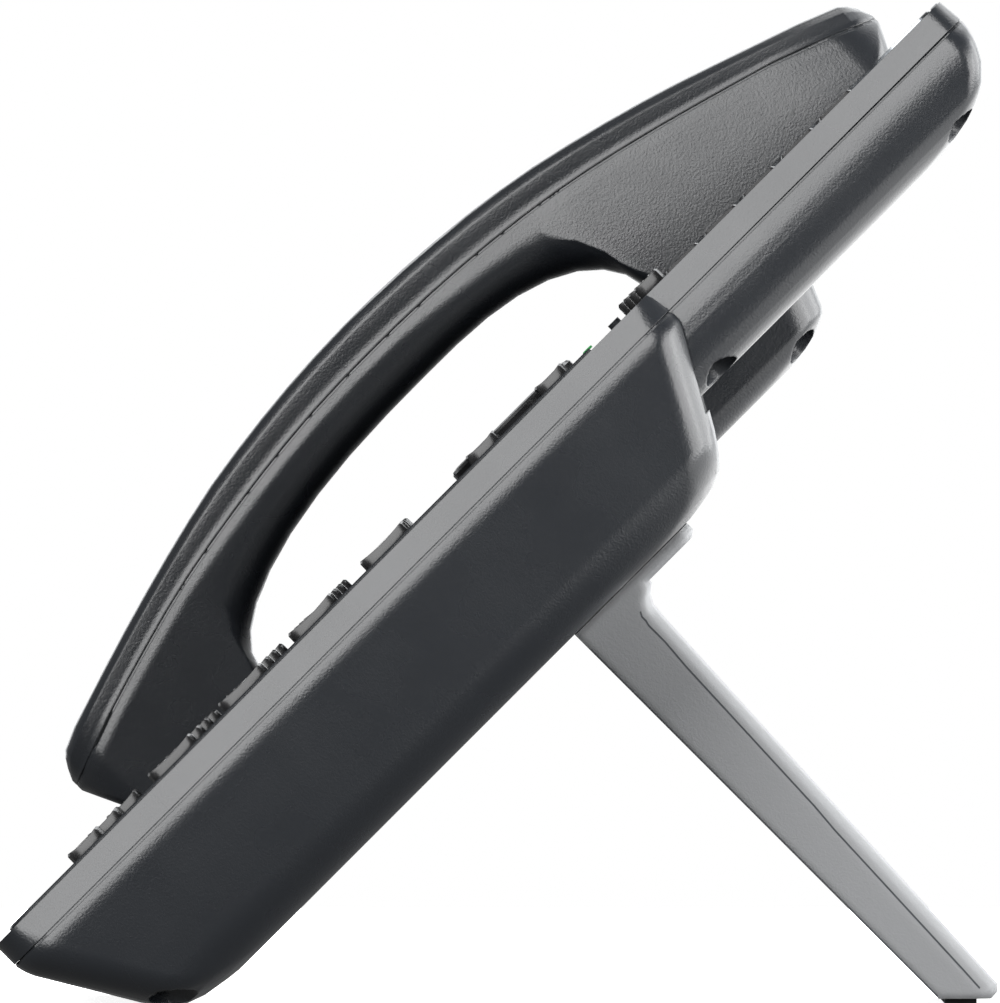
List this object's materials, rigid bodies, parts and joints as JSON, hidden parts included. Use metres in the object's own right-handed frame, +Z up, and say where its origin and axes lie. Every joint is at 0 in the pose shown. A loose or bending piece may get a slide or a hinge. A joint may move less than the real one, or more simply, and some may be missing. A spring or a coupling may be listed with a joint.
{
  "type": "desk ip phone",
  "caption": "Desk IP phone: sloping keypad base with a curved handset on its left, a colour display that tilts on a hinge, and a leg stand behind.",
  "frame": {"origin": "middle of the phone's footprint, on the surface it stands on", "axes": "+Z up, the user in front at -Y, +X to the user's right; the face slopes up at 45 degrees towards +Y"},
  "size_m": [0.23, 0.1895, 0.1906],
  "materials": {
    "shell_plastic": "fine leather-like moulded grain, satin",
    "cover_plastic": "fine moulded grain, satin",
    "key_plastic": "smooth, semi-gloss black",
    "stand_plastic": "light grey, fine grain",
    "foot_rubber": "matte",
    "lens_glass": "clear, glossy",
    "lcd_panel": "flat dark panel",
    "circuit_board": "green solder mask",
    "pin_steel": "plain",
    "keypad_silicone": "matte, translucent grey",
    "component_plastic": "matte black",
    "jack_plastic": "semi-gloss black"
  },
  "bodies": {
    "base": {"base_front_cover": "cover_plastic", "base_rear_shell": "shell_plastic", "main_board": "circuit_board", "keypad_mat": "keypad_silicone", "hands_free_speaker": "component_plastic", "rear_jack_block": "jack_plastic", "handset_jack_block": "jack_plastic", "stand": "stand_plastic", "stand_foot": "foot_rubber", "base_foot": "foot_rubber", "display_hinge_pin": "pin_steel"},
    "hookswitch": {"hookswitch": "key_plastic"},
    "nav_gimbal": {"nav_gimbal": "pin_steel"},
    "nav_ring": {"nav_ring": "key_plastic"},
    "ok_key": {"ok_key": "key_plastic"},
    "volume_rocker": {"volume_rocker": "key_plastic"},
    "display": {"display_bezel": "cover_plastic", "display_rear_shell": "shell_plastic", "display_lens": "lens_glass", "lcd_module": "lcd_panel"},
    "handset": {"handset_outer_shell": "shell_plastic", "handset_inner_shell": "shell_plastic", "receiver": "component_plastic", "microphone": "pin_steel"},
    "dial_key_1": {"dial_key_1": "key_plastic"},
    "dial_key_2": {"dial_key_2": "key_plastic"},
    "dial_key_3": {"dial_key_3": "key_plastic"},
    "dial_key_4": {"dial_key_4": "key_plastic"},
    "dial_key_5": {"dial_key_5": "key_plastic"},
    "dial_key_6": {"dial_key_6": "key_plastic"},
    "dial_key_7": {"dial_key_7": "key_plastic"},
    "dial_key_8": {"dial_key_8": "key_plastic"},
    "dial_key_9": {"dial_key_9": "key_plastic"},
    "dial_key_star": {"dial_key_star": "key_plastic"},
    "dial_key_0": {"dial_key_0": "key_plastic"},
    "dial_key_hash": {"dial_key_hash": "key_plastic"},
    "message_key": {"message_key": "key_plastic"},
    "hold_key": {"hold_key": "key_plastic"},
    "transfer_key": {"transfer_key": "key_plastic"},
    "redial_key": {"redial_key": "key_plastic"},
    "speaker_key": {"speaker_key": "key_plastic"},
    "headset_key": {"headset_key": "key_plastic"},
    "left_function_key_1": {"left_function_key_1": "key_plastic"},
    "left_function_key_2": {"left_function_key_2": "key_plastic"},
    "right_function_key_1": {"right_function_key_1": "key_plastic"},
    "right_function_key_2": {"right_function_key_2": "key_plastic"},
    "softkey_1": {"softkey_1": "key_plastic"},
    "softkey_2": {"softkey_2": "key_plastic"},
    "softkey_3": {"softkey_3": "key_plastic"},
    "softkey_4": {"softkey_4": "key_plastic"},
    "line_key_left_1": {"line_key_left_1": "key_plastic"},
    "line_key_left_2": {"line_key_left_2": "key_plastic"},
    "line_key_left_3": {"line_key_left_3": "key_plastic"},
    "line_key_left_4": {"line_key_left_4": "key_plastic"},
    "line_key_left_5": {"line_key_left_5": "key_plastic"},
    "line_key_right_1": {"line_key_right_1": "key_plastic"},
    "line_key_right_2": {"line_key_right_2": "key_plastic"},
    "line_key_right_3": {"line_key_right_3": "key_plastic"},
    "line_key_right_4": {"line_key_right_4": "key_plastic"},
    "line_key_right_5": {"line_key_right_5": "key_plastic"}
  },
  "joints": [
    {"name": "dial_key_1_press", "type": "slide", "parent": "base", "child": "dial_key_1", "axis": [0, -0.7071, 0.7071], "range_m": [-0.001, 0], "stiffness_N_per_m": 400, "springref_m": 0.0004},
    {"name": "dial_key_2_press", "type": "slide", "parent": "base", "child": "dial_key_2", "axis": [0, -0.7071, 0.7071], "range_m": [-0.001, 0], "stiffness_N_per_m": 400, "springref_m": 0.0004},
    {"name": "dial_key_3_press", "type": "slide", "parent": "base", "child": "dial_key_3", "axis": [0, -0.7071, 0.7071], "range_m": [-0.001, 0], "stiffness_N_per_m": 400, "springref_m": 0.0004},
    {"name": "dial_key_4_press", "type": "slide", "parent": "base", "child": "dial_key_4", "axis": [0, -0.7071, 0.7071], "range_m": [-0.001, 0], "stiffness_N_per_m": 400, "springref_m": 0.0004},
    {"name": "dial_key_5_press", "type": "slide", "parent": "base", "child": "dial_key_5", "axis": [0, -0.7071, 0.7071], "range_m": [-0.001, 0], "stiffness_N_per_m": 400, "springref_m": 0.0004},
    {"name": "dial_key_6_press", "type": "slide", "parent": "base", "child": "dial_key_6", "axis": [0, -0.7071, 0.7071], "range_m": [-0.001, 0], "stiffness_N_per_m": 400, "springref_m": 0.0004},
    {"name": "dial_key_7_press", "type": "slide", "parent": "base", "child": "dial_key_7", "axis": [0, -0.7071, 0.7071], "range_m": [-0.001, 0], "stiffness_N_per_m": 400, "springref_m": 0.0004},
    {"name": "dial_key_8_press", "type": "slide", "parent": "base", "child": "dial_key_8", "axis": [0, -0.7071, 0.7071], "range_m": [-0.001, 0], "stiffness_N_per_m": 400, "springref_m": 0.0004},
    {"name": "dial_key_9_press", "type": "slide", "parent": "base", "child": "dial_key_9", "axis": [0, -0.7071, 0.7071], "range_m": [-0.001, 0], "stiffness_N_per_m": 400, "springref_m": 0.0004},
    {"name": "dial_key_star_press", "type": "slide", "parent": "base", "child": "dial_key_star", "axis": [0, -0.7071, 0.7071], "range_m": [-0.001, 0], "stiffness_N_per_m": 400, "springref_m": 0.0004},
    {"name": "dial_key_0_press", "type": "slide", "parent": "base", "child": "dial_key_0", "axis": [0, -0.7071, 0.7071], "range_m": [-0.001, 0], "stiffness_N_per_m": 400, "springref_m": 0.0004},
    {"name": "dial_key_hash_press", "type": "slide", "parent": "base", "child": "dial_key_hash", "axis": [0, -0.7071, 0.7071], "range_m": [-0.001, 0], "stiffness_N_per_m": 400, "springref_m": 0.0004},
    {"name": "message_key_press", "type": "slide", "parent": "base", "child": "message_key", "axis": [0, -0.7071, 0.7071], "range_m": [-0.001, 0], "stiffness_N_per_m": 400, "springref_m": 0.0004},
    {"name": "hold_key_press", "type": "slide", "parent": "base", "child": "hold_key", "axis": [0, -0.7071, 0.7071], "range_m": [-0.001, 0], "stiffness_N_per_m": 400, "springref_m": 0.0004},
    {"name": "transfer_key_press", "type": "slide", "parent": "base", "child": "transfer_key", "axis": [0, -0.7071, 0.7071], "range_m": [-0.001, 0], "stiffness_N_per_m": 400, "springref_m": 0.0004},
    {"name": "redial_key_press", "type": "slide", "parent": "base", "child": "redial_key", "axis": [0, -0.7071, 0.7071], "range_m": [-0.001, 0], "stiffness_N_per_m": 400, "springref_m": 0.0004},
    {"name": "speaker_key_press", "type": "slide", "parent": "base", "child": "speaker_key", "axis": [0, -0.7071, 0.7071], "range_m": [-0.001, 0], "stiffness_N_per_m": 400, "springref_m": 0.0004},
    {"name": "headset_key_press", "type": "slide", "parent": "base", "child": "headset_key", "axis": [0, -0.7071, 0.7071], "range_m": [-0.001, 0], "stiffness_N_per_m": 400, "springref_m": 0.0004},
    {"name": "left_function_key_1_press", "type": "slide", "parent": "base", "child": "left_function_key_1", "axis": [0, -0.7071, 0.7071], "range_m": [-0.001, 0], "stiffness_N_per_m": 400, "springref_m": 0.0004},
    {"name": "left_function_key_2_press", "type": "slide", "parent": "base", "child": "left_function_key_2", "axis": [0, -0.7071, 0.7071], "range_m": [-0.001, 0], "stiffness_N_per_m": 400, "springref_m": 0.0004},
    {"name": "right_function_key_1_press", "type": "slide", "parent": "base", "child": "right_function_key_1", "axis": [0, -0.7071, 0.7071], "range_m": [-0.001, 0], "stiffness_N_per_m": 400, "springref_m": 0.0004},
    {"name": "right_function_key_2_press", "type": "slide", "parent": "base", "child": "right_function_key_2", "axis": [0, -0.7071, 0.7071], "range_m": [-0.001, 0], "stiffness_N_per_m": 400, "springref_m": 0.0004},
    {"name": "ok_key_press", "type": "slide", "parent": "base", "child": "ok_key", "axis": [0, -0.7071, 0.7071], "range_m": [-0.0008, 0], "stiffness_N_per_m": 400, "springref_m": 0.0004},
    {"name": "softkey_1_press", "type": "slide", "parent": "display", "child": "softkey_1", "axis": [0, -0.7071, 0.7071], "range_m": [-0.001, 0], "stiffness_N_per_m": 400, "springref_m": 0.0004},
    {"name": "softkey_2_press", "type": "slide", "parent": "display", "child": "softkey_2", "axis": [0, -0.7071, 0.7071], "range_m": [-0.001, 0], "stiffness_N_per_m": 400, "springref_m": 0.0004},
    {"name": "softkey_3_press", "type": "slide", "parent": "display", "child": "softkey_3", "axis": [0, -0.7071, 0.7071], "range_m": [-0.001, 0], "stiffness_N_per_m": 400, "springref_m": 0.0004},
    {"name": "softkey_4_press", "type": "slide", "parent": "display", "child": "softkey_4", "axis": [0, -0.7071, 0.7071], "range_m": [-0.001, 0], "stiffness_N_per_m": 400, "springref_m": 0.0004},
    {"name": "line_key_left_1_press", "type": "slide", "parent": "display", "child": "line_key_left_1", "axis": [0, -0.7071, 0.7071], "range_m": [-0.0006, 0], "stiffness_N_per_m": 400, "springref_m": 0.0003},
    {"name": "line_key_left_2_press", "type": "slide", "parent": "display", "child": "line_key_left_2", "axis": [0, -0.7071, 0.7071], "range_m": [-0.0006, 0], "stiffness_N_per_m": 400, "springref_m": 0.0003},
    {"name": "line_key_left_3_press", "type": "slide", "parent": "display", "child": "line_key_left_3", "axis": [0, -0.7071, 0.7071], "range_m": [-0.0006, 0], "stiffness_N_per_m": 400, "springref_m": 0.0003},
    {"name": "line_key_left_4_press", "type": "slide", "parent": "display", "child": "line_key_left_4", "axis": [0, -0.7071, 0.7071], "range_m": [-0.0006, 0], "stiffness_N_per_m": 400, "springref_m": 0.0003},
    {"name": "line_key_left_5_press", "type": "slide", "parent": "display", "child": "line_key_left_5", "axis": [0, -0.7071, 0.7071], "range_m": [-0.0006, 0], "stiffness_N_per_m": 400, "springref_m": 0.0003},
    {"name": "line_key_right_1_press", "type": "slide", "parent": "display", "child": "line_key_right_1", "axis": [0, -0.7071, 0.7071], "range_m": [-0.0006, 0], "stiffness_N_per_m": 400, "springref_m": 0.0003},
    {"name": "line_key_right_2_press", "type": "slide", "parent": "display", "child": "line_key_right_2", "axis": [0, -0.7071, 0.7071], "range_m": [-0.0006, 0], "stiffness_N_per_m": 400, "springref_m": 0.0003},
    {"name": "line_key_right_3_press", "type": "slide", "parent": "display", "child": "line_key_right_3", "axis": [0, -0.7071, 0.7071], "range_m": [-0.0006, 0], "stiffness_N_per_m": 400, "springref_m": 0.0003},
    {"name": "line_key_right_4_press", "type": "slide", "parent": "display", "child": "line_key_right_4", "axis": [0, -0.7071, 0.7071], "range_m": [-0.0006, 0], "stiffness_N_per_m": 400, "springref_m": 0.0003},
    {"name": "line_key_right_5_press", "type": "slide", "parent": "display", "child": "line_key_right_5", "axis": [0, -0.7071, 0.7071], "range_m": [-0.0006, 0], "stiffness_N_per_m": 400, "springref_m": 0.0003},
    {"name": "nav_tilt_up_down", "type": "hinge", "parent": "base", "child": "nav_gimbal", "pos_m": [0.033, 0.00585, 0.10791], "axis": [1, 0, 0], "range_deg": [-2.5, 2.5], "stiffness_Nm_per_rad": 0.15},
    {"name": "nav_tilt_left_right", "type": "hinge", "parent": "nav_gimbal", "child": "nav_ring", "pos_m": [0.033, 0.00585, 0.10791], "axis": [0, 0.7071, 0.7071], "range_deg": [-2.5, 2.5], "stiffness_Nm_per_rad": 0.15},
    {"name": "volume_rock", "type": "hinge", "parent": "base", "child": "volume_rocker", "pos_m": [0.027, -0.07108, 0.03041], "axis": [0, 0.7071, 0.7071], "range_deg": [-1.8, 1.8], "stiffness_Nm_per_rad": 0.4},
    {"name": "handset_lift", "type": "slide", "parent": "base", "child": "handset", "axis": [0, -0.7071, 0.7071], "range_m": [0, 0.1]},
    {"name": "hookswitch_travel", "type": "slide", "parent": "base", "child": "hookswitch", "axis": [0, -0.7071, 0.7071], "range_m": [0, 0.002]},
    {"name": "display_tilt", "type": "hinge", "parent": "base", "child": "display", "pos_m": [0, 0.03078, 0.1223], "axis": [1, 0, 0], "range_deg": [0, 40]}
  ],
  "couplings": [
    {"joint": "hookswitch_travel", "follows": "handset_lift", "ratio": 0.02}
  ]
}
